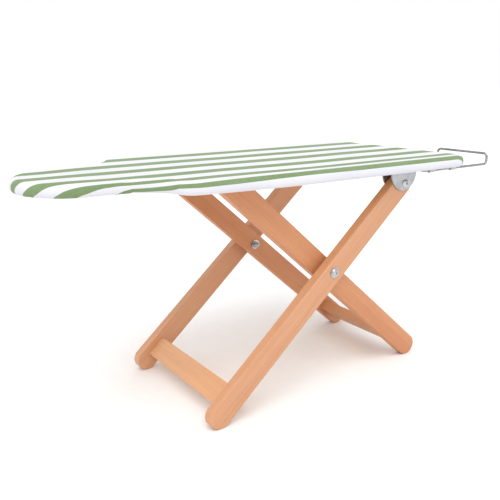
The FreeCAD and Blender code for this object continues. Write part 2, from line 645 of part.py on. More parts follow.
# ---------------------------------------------------------------- steel fittings
def hinge_bracket(name, side):
    """A sheet channel screwed under the board; its two half-round ears hold a leg."""
    body = new_body(f"hinge_bracket_{name}", x=HINGE_X,
                    y=f"{side} * (dims.frame_a_half - dims.leg_thick / 2)", z=HINGE_Z)
    top = f"dims.board_bottom_z - ({HINGE_Z})"
    spring = f"dims.ear_bottom_z + dims.ear_radius - ({HINGE_Z})"
    left, right = "-dims.ear_shift - dims.ear_radius", "-dims.ear_shift + dims.ear_radius"
    sketch = new_sketch(body, "XZ_Plane")

    def point(x, y):
        return FreeCAD.Vector(value(x), value(y), 0)
    left_g = sketch.addGeometry(Part.LineSegment(point(left, top), point(left, spring)), False)
    arc_g = sketch.addGeometry(Part.ArcOfCircle(
        Part.Circle(point("-dims.ear_shift", spring), FreeCAD.Vector(0, 0, 1),
                    value("dims.ear_radius")), math.pi, 2 * math.pi), False)
    right_g = sketch.addGeometry(Part.LineSegment(point(right, spring), point(right, top)), False)
    top_g = sketch.addGeometry(Part.LineSegment(point(right, top), point(left, top)), False)
    sketch.addConstraint(Sketcher.Constraint("Tangent", left_g, 2, arc_g, 1))
    sketch.addConstraint(Sketcher.Constraint("Tangent", arc_g, 2, right_g, 1))
    sketch.addConstraint(Sketcher.Constraint("Coincident", right_g, 2, top_g, 1))
    sketch.addConstraint(Sketcher.Constraint("Coincident", top_g, 2, left_g, 1))
    sketch.addConstraint(Sketcher.Constraint("Vertical", left_g))
    sketch.addConstraint(Sketcher.Constraint("Vertical", right_g))
    sketch.addConstraint(Sketcher.Constraint("Horizontal", top_g))
    fix_point(sketch, arc_g, 3, "-dims.ear_shift", spring)
    bind(sketch, "Radius", arc_g, to="dims.ear_radius")
    bind(sketch, "DistanceY", top_g, 1, to=top)
    add_circle(sketch, "0", "0", "dims.bolt_radius")
    pad(body, sketch, BRACKET_WIDTH, midplane=True)
    channel = new_sketch(body, "YZ_Plane")
    gap = "(dims.leg_thick / 2 + dims.bracket_gap)"
    floor = f"dims.ear_bottom_z - ({HINGE_Z}) - 1"
    add_polygon(channel, [(f"-{gap}", floor), (gap, floor),
                          (gap, f"{top} - dims.sheet"), (f"-{gap}", f"{top} - dims.sheet")])
    pocket(body, channel, midplane=True)
    holes = new_sketch(body, "XY_Plane", top)
    for end in (-1, 1):
        add_circle(holes, f"-dims.ear_shift + {end} * dims.bracket_screw_span / 2", "0",
                   "dims.screw_radius")
    pocket(body, holes, "dims.sheet")
    return body


def catch_plate(name, side):
    """An angle under the board: a flange for two screws and a web with the rod's notch."""
    body = new_body(f"catch_plate_{name}", x=ROD_X, y=f"{side} * dims.catch_half",
                    z="dims.rod_z")
    top = "(dims.board_bottom_z - dims.rod_z)"
    seat = "(dims.rod_radius + dims.catch_slack)"
    lip = "(dims.rod_radius + dims.catch_lip)"
    sketch = new_sketch(body, "XZ_Plane")
    centre_y, lip_y, seat_r = value("dims.catch_rise"), value(lip), value(seat)
    lip_x = f"-sqrt({seat} ^ 2 - ({lip} - dims.catch_rise) ^ 2)"
    corners = [(lip_x, lip), ("-dims.catch_back", lip), ("-dims.catch_back", top),
               ("dims.catch_front", top), ("dims.catch_front", f"{top} - dims.catch_depth"),
               (seat, f"{top} - dims.catch_depth"), (seat, "dims.catch_rise")]
    points = [FreeCAD.Vector(value(x), value(y), 0) for x, y in corners]
    lines = [sketch.addGeometry(Part.LineSegment(a, b), False) for a, b in zip(points, points[1:])]
    arc_start = 0.0
    arc_end = math.atan2(lip_y - centre_y, points[0].x)
    arc_g = sketch.addGeometry(Part.ArcOfCircle(
        Part.Circle(FreeCAD.Vector(0, centre_y, 0), FreeCAD.Vector(0, 0, 1), seat_r),
        arc_start, arc_end), False)
    for a, b in zip(lines, lines[1:]):
        sketch.addConstraint(Sketcher.Constraint("Coincident", a, 2, b, 1))
    sketch.addConstraint(Sketcher.Constraint("Coincident", lines[-1], 2, arc_g, 1))
    sketch.addConstraint(Sketcher.Constraint("Coincident", arc_g, 2, lines[0], 1))
    for line, (x, y) in zip(lines, corners):
        fix_point(sketch, line, 1, x, y)
    fix_point(sketch, lines[-1], 2, *corners[-1])
    bind(sketch, "DistanceX", arc_g, 3, to="0")
    pad(body, sketch, "dims.catch_sheet", reverse=side < 0)
    flange = new_sketch(body, "XY_Plane", top)
    inward = -side
    add_polygon(flange, [("-dims.catch_back", "0"), ("dims.catch_front", "0"),
                         ("dims.catch_front", f"{inward} * dims.catch_flange"),
                         ("-dims.catch_back", f"{inward} * dims.catch_flange")])
    pad(body, flange, "dims.catch_sheet", reverse=True)
    holes = new_sketch(body, "XY_Plane", top)
    for end in (-1, 1):
        add_circle(holes, f"{end} * dims.catch_screw_span / 2 + 1",
                   f"{inward} * (dims.catch_half - dims.catch_screw_half)", "dims.screw_radius")
    pocket(body, holes, "dims.catch_sheet")
    return body


def bent_wire(points, radius, bend):
    """A round wire along straight runs joined by tangent arcs of one radius."""
    edges, start = [], points[0]
    for before, corner, after in zip(points, points[1:], points[2:]):
        into = (corner - before).normalize()
        out = (after - corner).normalize()
        turn = into.getAngle(out)
        set_off = bend * math.tan(turn / 2)
        first, last = corner - into * set_off, corner + out * set_off
        inward = (out - into).normalize()
        middle = corner + inward * (bend / math.cos(turn / 2) - bend)
        edges += [Part.LineSegment(start, first).toShape(),
                  Part.Arc(first, middle, last).toShape()]
        start = last
    edges.append(Part.LineSegment(start, points[-1]).toShape())
    path = Part.Wire(edges)
    direction = points[1] - points[0]
    section = Part.Wire(Part.Circle(points[0], direction, radius).toShape())
    solid = path.makePipeShell([section], True, True)
    expected = math.pi * radius ** 2 * path.Length
    if abs(solid.Volume - expected) > 0.02 * expected:
        raise RuntimeError("the wire's volume is not its section times its length")
    return solid


def iron_rest():
    """The rest at the board's end: two wire arms, a riser on each and a bar across."""
    near, far = -value("dims.rest_near"), -value("dims.rest_far")
    start, end = value("dims.rest_start_x"), value("dims.rest_end_x")
    low, high, hook = (value(f"dims.rest_{n}") for n in ("low_z", "high_z", "hook"))
    points = [FreeCAD.Vector(*place) for place in (
        (start, near + hook, low), (start, near, low), (end, near, low), (end, near, high),
        (end, far, high), (end, far, low), (start, far, low), (start, far - hook, low))]
    rest = doc.addObject("Part::Feature", "iron_rest")
    rest.Label = "iron_rest"
    rest.Shape = bent_wire(points, value("dims.wire_radius"), value("dims.rest_bend"))
    rest.Placement = FreeCAD.Placement()
    return rest


def rest_clip(node, x, arm_y, turn):
    """A saddle of sheet round one arm of the rest, with a tab for its screw."""
    body = new_body(node, x=x, y=arm_y, z="dims.rest_low_z", axis=(0, 0, 1), angle=turn)
    outer = new_sketch(body, "YZ_Plane")
    add_circle(outer, "0", "0", "dims.wire_radius + dims.clip_wall")
    pad(body, outer, "dims.clip_length", midplane=True)
    tab = new_sketch(body, "YZ_Plane")
    top = "(dims.board_bottom_z - dims.rest_low_z)"
    add_polygon(tab, [("0", f"{top} - dims.clip_tab_thick"),
                      ("dims.clip_tab", f"{top} - dims.clip_tab_thick"),
                      ("dims.clip_tab", top), ("0", top)])
    pad(body, tab, "dims.clip_length", midplane=True)
    bore = new_sketch(body, "YZ_Plane")
    add_circle(bore, "0", "0", "dims.wire_radius")
    pocket(body, bore, midplane=True)
    hole = new_sketch(body, "XY_Plane", top)
    add_circle(hole, "0", "dims.clip_screw", "dims.screw_radius")
    pocket(body, hole, "dims.clip_tab_thick")
    return body


# ---------------------------------------------------------------- wood screws
def wood_screw(x, y, held):
    """One pan-head screw driven up into the core through a plate of a given thickness."""
    shank = doc.addObject("Part::Cylinder", "screw_shank")
    shank.setExpression("Radius", "dims.screw_radius")
    shank.setExpression("Height", f"{held} + dims.screw_bite")
    head = doc.addObject("Part::Cone", "screw_head")
    head.setExpression("Radius1", "dims.screw_head * 0.6")
    head.setExpression("Radius2", "dims.screw_head")
    head.setExpression("Height", "dims.screw_head_height")
    for piece, drop in ((shank, ""), (head, " - dims.screw_head_height")):
        piece.setExpression("Placement.Base.x", x)
        piece.setExpression("Placement.Base.y", y)
        piece.setExpression("Placement.Base.z", f"dims.board_bottom_z - ({held}){drop}")
    screw = doc.addObject("Part::MultiFuse", "screw")
    screw.Shapes = [shank, head]
    return screw


def screw_group(node, places):
    group = doc.addObject("Part::Compound", node)
    group.Label = node
    group.Links = [wood_screw(*place) for place in places]
    return group


def screws():
    places = board_screw_places()

    def holding(thickness):
        return [place for place in places if place[2] == thickness]
    return [
        screw_group("hinge_bracket_screws", holding("dims.sheet")),
        screw_group("catch_plate_screws", holding("dims.catch_sheet")),
        screw_group("rest_clip_screws", holding("dims.clip_tab_thick")),
    ]


# ---------------------------------------------------------------- the whole object
def build():
    parts = [board_core(), board_pad(), board_cover(), hem_elastic()]
    for name, side in sides():
        parts += [leg_a(name, side), leg_b(name, side)]
        parts += [hinge_bracket(name, side), catch_plate(name, side)]
        parts += pivot_hardware(name, side) + hinge_hardware(name, side)
    for frame in "ab":
        parts += [stretcher(frame), stretcher_dowels(frame)]
    parts += [catch_rod(), iron_rest()]
    for place in ("back", "front"):
        x = f"dims.clip_{place}_x"
        parts.append(rest_clip(f"rest_clip_near_{place}", x, "-dims.rest_near", "0"))
        parts.append(rest_clip(f"rest_clip_far_{place}", x, "-dims.rest_far", "180"))
    parts += screws()
    return parts


def check_and_export(parts):
    doc.recompute()
    failed = [o.Label for o in doc.Objects if "Invalid" in o.State or "Error" in o.State]
    bad = [p.Label for p in parts if p.Shape.isNull() or not p.Shape.isValid()]
    if failed or bad:
        raise RuntimeError(f"failed objects {failed}, bad shapes {bad}")
    for part in parts:
        part.Shape.exportStep(f"parts/{part.Label}.step")
    print(len(parts), "parts written")


check_and_export(build())
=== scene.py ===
"""Looks for the sleeve ironing board: cloth, padding, beech, steel, light and camera.

Lengths are metres in the CAD model's frame: +X from the nose to the iron rest,
+Z up from the floor, and the camera stands on the -Y side.
"""
import bpy
import bmesh
import json
import math
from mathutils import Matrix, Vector, noise


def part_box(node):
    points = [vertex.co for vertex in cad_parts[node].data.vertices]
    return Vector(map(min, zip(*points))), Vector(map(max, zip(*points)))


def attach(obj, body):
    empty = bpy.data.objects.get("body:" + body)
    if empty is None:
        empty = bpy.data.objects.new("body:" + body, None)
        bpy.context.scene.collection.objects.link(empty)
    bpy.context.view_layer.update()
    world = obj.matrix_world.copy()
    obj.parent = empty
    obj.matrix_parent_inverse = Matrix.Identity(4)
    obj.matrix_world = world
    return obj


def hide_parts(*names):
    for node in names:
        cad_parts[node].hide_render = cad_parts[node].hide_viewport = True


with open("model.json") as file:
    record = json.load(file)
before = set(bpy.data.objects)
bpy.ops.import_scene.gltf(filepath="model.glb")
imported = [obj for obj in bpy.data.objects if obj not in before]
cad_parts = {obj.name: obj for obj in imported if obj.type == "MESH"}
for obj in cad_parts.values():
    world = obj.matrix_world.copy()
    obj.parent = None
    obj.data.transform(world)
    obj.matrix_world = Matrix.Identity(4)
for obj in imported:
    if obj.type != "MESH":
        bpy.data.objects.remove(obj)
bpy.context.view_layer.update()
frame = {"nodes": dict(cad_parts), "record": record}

# ------------------------------------------------------------------ places from the frame
COVER_LOW, COVER_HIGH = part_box("board_cover")
_, CORE_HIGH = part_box("board_core")
PAD_LOW, PAD_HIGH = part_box("board_pad")
ELASTIC_LOW, ELASTIC_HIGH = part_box("hem_elastic")
JOINTS = {joint["name"]: joint for joint in frame["record"]["behaviour"]["joints"]}
HINGE = Vector(JOINTS["fold"]["pos_m"])
PIVOT = Vector(JOINTS["scissor"]["pos_m"])
LEAN = math.atan2(HINGE.z - PIVOT.z, HINGE.x - PIVOT.x)

# The board's plan: arcs and where they start, counted from the nose's tip.
NOSE_RADIUS = 0.077
NOSE_FLARE = math.radians(2.0)
INNER_RADIUS = 0.058
SHOULDER_RADIUS = 0.024
SHOULDER_FROM_TIP = 0.184
SWEEP_RADIUS = 1.150
SWEEP_FROM_TIP = 0.363
CORNER_RADIUS = 0.028

TOP_ROUND = 0.0090
HEM_ROUND = 0.0070
HEM_WIDTH = COVER_HIGH[1] - ELASTIC_HIGH[1]
ELASTIC_WIDTH = 0.0030
CORE_INSET = COVER_HIGH[1] - CORE_HIGH[1]
COVER_THICKNESS = 0.0008
PADDING_GAP = 0.0003
PADDING_SHARPER_BELOW = 0.0012
STITCHES_AT = 0.93
SPINE_SHORT_OF_END = 0.10

# Green stripe centres across the cloth, from the far edge to the near one.
STRIPES_AT_NOSE = (0.103, 0.041, -0.015, -0.070, -0.118, -0.152)
STRIPES_AT_END = (0.100, 0.038, -0.019, -0.076, -0.125, -0.149)
STRIPE_SHARE = 0.47

# Along the board, from the tip: where the stripes drift from one set of centres to the
# other, and where the nose draws the cloth in, by what share of its width.
DRIFT_FROM, DRIFT_TO = 0.21, 0.39
DRAWN_IN, DRAWN_FULL, DRAWN_SHARE = 0.114, 0.034, 0.14

# How many stripes further on the cloth is, once pulled down over the edge.  Each row is a place
# round the edge, in metres from the tip, and its gain at each depth.
DEPTHS = (0.0, 0.005, 0.009, 0.014, 0.020, 0.027)
EDGE_GAINS = (
    (0.00, (0, 0.00, 0.00, 0.00, 0.00, 0.00)),
    (0.02, (0, 0.10, 0.15, 0.30, 0.45, 0.55)),
    (0.035, (0, 0.10, 0.25, 0.40, 0.60, 0.75)),
    (0.05, (0, 0.20, 0.35, 0.50, 0.70, 0.90)),
    (0.07, (0, 0.25, 0.45, 0.65, 0.85, 0.95)),
    (0.09, (0, 0.30, 0.60, 0.85, 1.00, 1.10)),
    (0.11, (0, 0.40, 0.75, 1.00, 1.25, 1.40)),
    (0.13, (0, 0.45, 0.90, 1.30, 1.55, 1.65)),
    (0.15, (0, 0.45, 0.95, 1.45, 1.75, 1.90)),
    (0.165, (0, 0.40, 0.80, 1.45, 2.15, 2.45)),
    (0.20, (0, 0.35, 0.75, 1.30, 1.80, 2.10)),
    (0.225, (0, 0.35, 0.75, 1.20, 1.50, 1.70)),
    (0.25, (0, 0.30, 0.60, 1.00, 1.20, 1.35)),
    (0.30, (0, 0.30, 0.55, 0.85, 1.00, 1.15)),
    (0.40, (0, 0.25, 0.50, 0.70, 0.80, 0.90)),
    (0.50, (0, 0.15, 0.45, 0.65, 0.75, 0.85)),
    (0.71, (0, 0.15, 0.45, 0.65, 0.75, 0.85)),
    (0.76, (0, 0.00, 0.00, 0.00, 0.00, 0.00)),
    (2.00, (0, 0.00, 0.00, 0.00, 0.00, 0.00)),
)


# ------------------------------------------------------------------ material building
class Shader:
    """A node material under construction round one Principled surface."""

    def __init__(self, name):
        self.material = bpy.data.materials.new(name)
        self.material.use_nodes = True
        self.tree = self.material.node_tree
        self.surface = self.tree.nodes["Principled BSDF"]

    def feed(self, socket, value):
        if isinstance(value, bpy.types.NodeSocket):
            self.tree.links.new(value, socket)
        else:
            socket.default_value = value

    def add(self, kind, sockets, **settings):
        node = self.tree.nodes.new(kind)
        for name, value in settings.items():
            setattr(node, name, value)
        for name, value in sockets.items():
            self.feed(node.inputs[name], value)
        return node

    def set(self, **sockets):
        for name, value in sockets.items():
            self.feed(self.surface.inputs[name.replace("_", " ")], value)

    def object_space(self, scale=(1, 1, 1), turn=(0, 0, 0)):
        coordinates = self.add("ShaderNodeTexCoord", {}).outputs["Object"]
        return self.add("ShaderNodeMapping", {
            "Vector": coordinates, "Scale": scale, "Rotation": turn}).outputs["Vector"]

    def uv(self, layer, scale=(1, 1, 1)):
        coordinates = self.add("ShaderNodeUVMap", {}, uv_map=layer).outputs["UV"]
        return self.add("ShaderNodeMapping", {
            "Vector": coordinates, "Scale": scale}).outputs["Vector"]

    def noise(self, vector, scale, detail=2.0, roughness=0.5, distortion=0.0):
        return self.add("ShaderNodeTexNoise", {
            "Vector": vector, "Scale": scale, "Detail": detail, "Roughness": roughness,
            "Distortion": distortion}).outputs["Fac"]

    def math(self, operation, a, b=0.0, clamp=False):
        node = self.tree.nodes.new("ShaderNodeMath")
        node.operation, node.use_clamp = operation, clamp
        self.feed(node.inputs[0], a)
        self.feed(node.inputs[1], b)
        return node.outputs[0]

    def span(self, value, low, high, to_low=0.0, to_high=1.0):
        """A value carried from one range to another, smooth at both ends."""
        return self.add("ShaderNodeMapRange", {
            "Value": value, "From Min": low, "From Max": high, "To Min": to_low,
            "To Max": to_high}, interpolation_type="SMOOTHSTEP").outputs["Result"]

    def mix(self, share, a, b, blend="MIX"):
        node = self.tree.nodes.new("ShaderNodeMix")
        node.data_type, node.blend_type = "RGBA", blend
        colours = [socket for socket in node.inputs if socket.type == "RGBA"]
        self.feed(node.inputs[0], share)
        self.feed(colours[0], a)
        self.feed(colours[1], b)
        return next(socket for socket in node.outputs if socket.type == "RGBA")

    def bump(self, height, strength, distance, under=None):
        sockets = {"Height": height, "Strength": strength, "Distance": distance}
        if under is not None:
            sockets["Normal"] = under
        return self.add("ShaderNodeBump", sockets).outputs["Normal"]


def srgb(red, green, blue):
    """A colour given as 0 to 255 display values, as linear RGBA."""
    def linear(channel):
        c = channel / 255
        return c / 12.92 if c <= 0.04045 else ((c + 0.055) / 1.055) ** 2.4

    return (linear(red), linear(green), linear(blue), 1.0)


# ------------------------------------------------------------------ materials
def striped_cotton():
    """Plain-weave cotton, white with green stripes along the board."""
    cloth = Shader("striped_cotton")
    stripes = cloth.uv("stripes")
    weave = cloth.uv("cloth")
    across = cloth.add("ShaderNodeSeparateXYZ", {"Vector": stripes}).outputs["Y"]
    wander = cloth.noise(cloth.uv("cloth", (4, 40, 1)), 6.0, 3.0)
    wander = cloth.math("MULTIPLY", cloth.math("SUBTRACT", wander, 0.5), 0.02)
    across = cloth.math("ADD", across, wander)
    place = cloth.math("ABSOLUTE", cloth.math("SUBTRACT", cloth.math("FRACT", across), 0.5))
    green_share = cloth.span(place, STRIPE_SHARE / 2 + 0.012, STRIPE_SHARE / 2 - 0.012)

    thread = 2 * math.pi / 0.00055
    split = cloth.add("ShaderNodeSeparateXYZ", {"Vector": weave})
    warp = cloth.math("SINE", cloth.math("MULTIPLY", split.outputs["X"], thread))
    weft = cloth.math("SINE", cloth.math("MULTIPLY", split.outputs["Y"], thread))
    crossing = cloth.math("MULTIPLY", warp, weft)
    slubs_along = cloth.noise(cloth.uv("cloth", (30, 1600, 1)), 1.0, 2.0)
    slubs_across = cloth.noise(cloth.uv("cloth", (1600, 30, 1)), 1.0, 2.0)
    slubs = cloth.math("ADD", slubs_along, slubs_across)
    washed = cloth.noise(cloth.uv("cloth", (9, 14, 1)), 1.0, 4.0, 0.6)

    white = cloth.mix(cloth.span(washed, 0.35, 0.7), srgb(221, 221, 226), srgb(215, 214, 224))
    green = cloth.mix(cloth.span(washed, 0.3, 0.7), srgb(109, 133, 86), srgb(120, 142, 99))
    green = cloth.mix(cloth.span(slubs, 0.85, 1.25, 0.0, 0.22), green, srgb(160, 178, 142))
    colour = cloth.mix(green_share, white, green)
    shade = cloth.mix(cloth.span(crossing, -1.0, 1.0, 0.0, 0.06), colour, srgb(96, 100, 96))
    fine = cloth.bump(cloth.math("MULTIPLY", crossing, 0.5), 0.25, 0.00012)
    relief = cloth.bump(slubs, 0.30, 0.00022, fine)
    creases = cloth.noise(cloth.uv("cloth", (10, 16, 1)), 1.0, 3.0, 0.55, 0.6)
    cloth.set(Base_Color=shade, Roughness=0.86, Sheen_Weight=0.08, Sheen_Roughness=0.45,
              Normal=cloth.bump(creases, 0.35, 0.0018, relief))
    return cloth.material


def felt():
    """White needled felt: matted fibres with a slightly grey depth."""
    pad = Shader("felt")
    space = pad.object_space()
    fibres = pad.noise(space, 900.0, 4.0, 0.7, 0.8)
    clumps = pad.noise(space, 60.0, 3.0)
    colour = pad.mix(pad.span(clumps, 0.3, 0.7), srgb(232, 230, 224), srgb(214, 212, 205))
    pad.set(Base_Color=pad.mix(pad.span(fibres, 0.4, 0.6, 0.0, 0.3), colour, srgb(180, 178, 170)),
            Roughness=0.95, Sheen_Weight=0.4, Normal=pad.bump(fibres, 0.6, 0.0006))
    return pad.material


def braid():
    """Woven elastic: ribs across it with the rubber's cords showing as ridges along it, and
    painted shade in the grooves between them.
    """
    band = Shader("elastic_braid")
    split = band.add("ShaderNodeSeparateXYZ", {"Vector": band.uv("cloth")})
    ribs = band.math("SINE", band.math("MULTIPLY", split.outputs["X"], 2 * math.pi / 0.0011))
    cords = band.math("SINE", band.math("MULTIPLY", split.outputs["Y"], 2 * math.pi / 0.0009))
    pattern = band.math("ADD", band.math("MULTIPLY", ribs, 0.6), band.math("MULTIPLY", cords, 0.4))
    # Painted shade: the colour darkens where the rib and cord height is low, in the grooves.
    colour = band.mix(band.span(pattern, -0.8, 0.8), srgb(205, 205, 200), srgb(238, 238, 234))
    band.set(Base_Color=colour, Roughness=0.75, Normal=band.bump(pattern, 0.6, 0.0003))
    return band.material


def wood(name, tones, turn=(0, 0, 0), along="X", shift=0.0, grain=1.0):
    """Sanded wood: growth lines, fibres and short ray flecks that all run along the piece."""
    light, middle, dark, fleck = tones
    stuff = Shader(name)
    turned = stuff.object_space(turn=turn)
    moved = stuff.add("ShaderNodeMapping", {
        "Vector": turned, "Location": (shift, shift * 0.7, shift * 0.4)}).outputs["Vector"]

    def stretched(length, width):
        scale = [1 / width] * 3
        scale["XYZ".index(along)] = 1 / length
        return stuff.add("ShaderNodeMapping", {"Vector": moved, "Scale": scale}).outputs["Vector"]

    tone = stuff.noise(stretched(0.30, 0.030), 1.0, 3.0, 0.5, 0.4)
    lines = stuff.noise(stretched(0.45, 0.0060), 1.0, 3.0, 0.6, 0.9)
    rings = stuff.math("SINE", stuff.math("MULTIPLY", lines, 26.0))
    fibres = stuff.noise(stretched(0.030, 0.0006), 1.0, 3.0, 0.6)
    rays = stuff.noise(stretched(0.0048, 0.0007), 1.0, 1.0, 0.4)
    pores = stuff.noise(stretched(0.0100, 0.00032), 1.0, 1.0, 0.4)

    colour = stuff.mix(stuff.span(tone, 0.30, 0.70), light, middle)
    colour = stuff.mix(stuff.span(rings, 0.1, 1.0, 0.0, 0.30 * grain), colour, dark)
    colour = stuff.mix(stuff.span(fibres, 0.45, 0.75, 0.0, 0.28 * grain), colour, dark)
    colour = stuff.mix(stuff.span(rays, 0.66, 0.76, 0.0, 0.50 * grain), colour, fleck)
    colour = stuff.mix(stuff.span(pores, 0.68, 0.78, 0.0, 0.35 * grain), colour, fleck)
    roughness = stuff.span(fibres, 0.3, 0.7, 0.42, 0.56)
    relief = stuff.bump(fibres, 0.22, 0.00025)
    stuff.set(Base_Color=colour, Roughness=roughness, Coat_Weight=0.18, Coat_Roughness=0.38,
              Normal=stuff.bump(pores, 0.15, 0.0002, relief))
    return stuff.material


def steel(name, tones, roughness, spangle=0.0, brush=None):
    """Plated steel: a clouded tone, fine scratches and, on sheet, faint zinc crystals."""
    bright, dull = tones
    metal = Shader(name)
    space = metal.object_space()
    cloud = metal.noise(space, 90.0, 4.0, 0.6)
    scratch = metal.noise(metal.object_space(brush or (2500, 160, 2500)), 1.0, 3.0, 0.7)
    colour = metal.mix(metal.span(cloud, 0.35, 0.7), bright, dull)
    if spangle:
        crystals = metal.add("ShaderNodeTexVoronoi", {"Vector": space, "Scale": 420.0})
        grey = metal.add("ShaderNodeRGBToBW", {"Color": crystals.outputs["Color"]}).outputs["Val"]
        colour = metal.mix(metal.span(grey, 0.0, 1.0, 0.0, spangle), colour, srgb(150, 154, 158))
    metal.set(Base_Color=colour, Metallic=1.0,
              Roughness=metal.span(scratch, 0.3, 0.7, roughness * 0.85, roughness * 1.25),
              Normal=metal.bump(scratch, 0.10, 0.00008))
    return metal.material


def nylon():
    """Off-white moulded nylon, faintly speckled."""
    plastic = Shader("nylon")
    speckle = plastic.noise(plastic.object_space(), 700.0, 2.0)
    share = plastic.span(speckle, 0.35, 0.65)
    plastic.set(Base_Color=plastic.mix(share, srgb(226, 225, 218), srgb(214, 213, 204)),
                Roughness=0.45, Subsurface_Weight=0.05,
                Normal=plastic.bump(speckle, 0.15, 0.0001))
    return plastic.material


# ------------------------------------------------------------------ the board's outline
def plan_outline(step):
    """Places round the board's edge as (point, outward normal, bend), anticlockwise.

    bend is 1 / radius where the edge turns outward, and negative in the inner curves.
    """
    tip, end, half = COVER_LOW[0], COVER_HIGH[0], COVER_HIGH[1]
    shoulder_x, sweep_x = tip + SHOULDER_FROM_TIP, tip + SWEEP_FROM_TIP
    nose = Vector((tip + NOSE_RADIUS, 0))
    sweep = Vector((sweep_x, half - SWEEP_RADIUS))
    rise = math.sqrt((SWEEP_RADIUS - SHOULDER_RADIUS) ** 2 - (sweep_x - shoulder_x) ** 2)
    shoulder = Vector((shoulder_x, sweep.y + rise))
    along = Vector((math.cos(NOSE_FLARE), math.sin(NOSE_FLARE)))
    across = Vector((-along.y, along.x))
    line = nose + across * (NOSE_RADIUS + INNER_RADIUS)
    gap = shoulder - line
    reach = INNER_RADIUS + SHOULDER_RADIUS
    run = gap.dot(along) - math.sqrt(reach ** 2 - gap.dot(across) ** 2)
    inner = line + along * run
    corner = Vector((end - CORNER_RADIUS, half - CORNER_RADIUS))

    def arc(centre, radius, start, stop, outward=1):
        count = max(2, math.ceil(abs(stop - start) * radius / step))
        for i in range(count):
            angle = start + (stop - start) * i / count
            direction = Vector((math.cos(angle), math.sin(angle)))
            yield centre + direction * radius, direction * outward, outward / radius

    def straight(start, stop, normal):
        count = max(2, math.ceil((stop - start).length / step))
        for i in range(count):
            yield start.lerp(stop, i / count), normal, 0.0

    def angle_of(vector):
        return math.atan2(vector.y, vector.x)

    side_angle = angle_of(across)
    meet = angle_of(shoulder - inner)
    sweep_meet = angle_of(shoulder - sweep)
    up = math.pi / 2
    upper = list(arc(nose, NOSE_RADIUS, math.pi, side_angle))
    upper += straight(nose + across * NOSE_RADIUS, inner - across * INNER_RADIUS, across)
    upper += arc(inner, INNER_RADIUS, side_angle - math.pi, meet, -1)
    upper += arc(shoulder, SHOULDER_RADIUS, meet + math.pi, sweep_meet)
    upper += arc(sweep, SWEEP_RADIUS, sweep_meet, up)
    upper += straight(sweep + Vector((0, SWEEP_RADIUS)), corner + Vector((0, CORNER_RADIUS)),
                      Vector((0, 1)))
    upper += arc(corner, CORNER_RADIUS, up, 0)
    upper += straight(corner + Vector((CORNER_RADIUS, 0)), Vector((end, 0)), Vector((1, 0)))
    upper.append((Vector((end, 0)), Vector((1, 0)), 0.0))
    lower = [(Vector((p.x, -p.y)), Vector((n.x, -n.y)), b) for p, n, b in upper[1:-1]]
    return upper + lower[::-1]


def smoothed(values, reach):
    """A closed list averaged over its neighbours."""
    count = len(values)
    window = range(-reach, reach + 1)
    return [sum(values[(i + k) % count] for k in window) / len(window) for i in range(count)]


OUTLINE = plan_outline(0.0036)
BEND = smoothed([bend for _, _, bend in OUTLINE], 5)


def ease(value, start, stop):
    """0 before start, 1 after stop, and smooth between."""
    t = min(max((value - start) / (stop - start), 0.0), 1.0)
    return t * t * (3 - 2 * t)


def stripe_number(x, y):
    """Which stripe a place on the top falls on: a whole number at each green centre."""
    from_tip = x - COVER_LOW[0]
    drift = ease(from_tip, DRIFT_FROM, DRIFT_TO)
    across = y / (1 - DRAWN_SHARE * ease(-from_tip, -DRAWN_IN, -DRAWN_FULL))
    centres = [a + (b - a) * drift for a, b in zip(STRIPES_AT_NOSE, STRIPES_AT_END)]
    k = 0
    while k < len(centres) - 2 and across < centres[k + 1]:
        k += 1
    return k + (centres[k] - across) / (centres[k] - centres[k + 1])


def between(value, places, results):
    """Straight-line interpolation, held at both ends."""
    for a, b, low, high in zip(places, places[1:], results, results[1:]):
        if value <= b:
            return low + (high - low) * max(value - a, 0.0) / (b - a)
    return results[-1]


def edge_gains():
    """For each station, its row of gains: added on the near side, taken off on the far one."""
    lengths = [0.0]
    for (a, _, _), (b, _, _) in zip(OUTLINE, OUTLINE[1:] + OUTLINE[:1]):
        lengths.append(lengths[-1] + (b - a).length)
    whole = lengths.pop()
    places = [place for place, _ in EDGE_GAINS]
    rows = []
    for (point, _, _), length in zip(OUTLINE, lengths):
        side = -1 if point.y > 0 else 1
        from_tip = min(length, whole - length)
        rows.append([side * between(from_tip, places, [row[k] for _, row in EDGE_GAINS])
                     for k in range(len(DEPTHS))])
    return rows


# ------------------------------------------------------------------ cloth cover
def gather(station, depth):
    """How far the cloth stands out at one place of the edge.

    depth is 0 at the top's edge and 1 at the hem.
    """
    point, _, _ = OUTLINE[station]
    bend = max(BEND[station], 0.0)
    amount = 0.00025 + 0.00085 * min(bend * 0.05, 1.0)
    where = Vector((point.x, point.y, 0))
    coarse = noise.noise(where * 70 + Vector((3, 7, depth * 0.9)))
    fine = noise.noise(where * 190 + Vector((11, 2, depth * 1.2)))
    return amount * depth * (coarse + 0.7 * fine)


def cover_profile():
    """The cover's section from the top's edge down and under: (inset, height, depth)."""
    top, bottom = COVER_HIGH[2], COVER_LOW[2]
    rings = []
    for i in range(9):
        angle = math.radians(90 * (1 - i / 8))
        rings.append((TOP_ROUND * (1 - math.cos(angle)), top - TOP_ROUND * (1 - math.sin(angle)),
                      0.35 * i / 8))
    for i in range(1, 8):
        angle = math.radians(90 * i / 7)
        rings.append((HEM_ROUND * (1 - math.cos(angle)),
                      bottom + HEM_ROUND * (1 - math.sin(angle)), 0.4 + 0.6 * i / 7))
    rings.append((HEM_WIDTH, bottom, 1.0))
    return rings


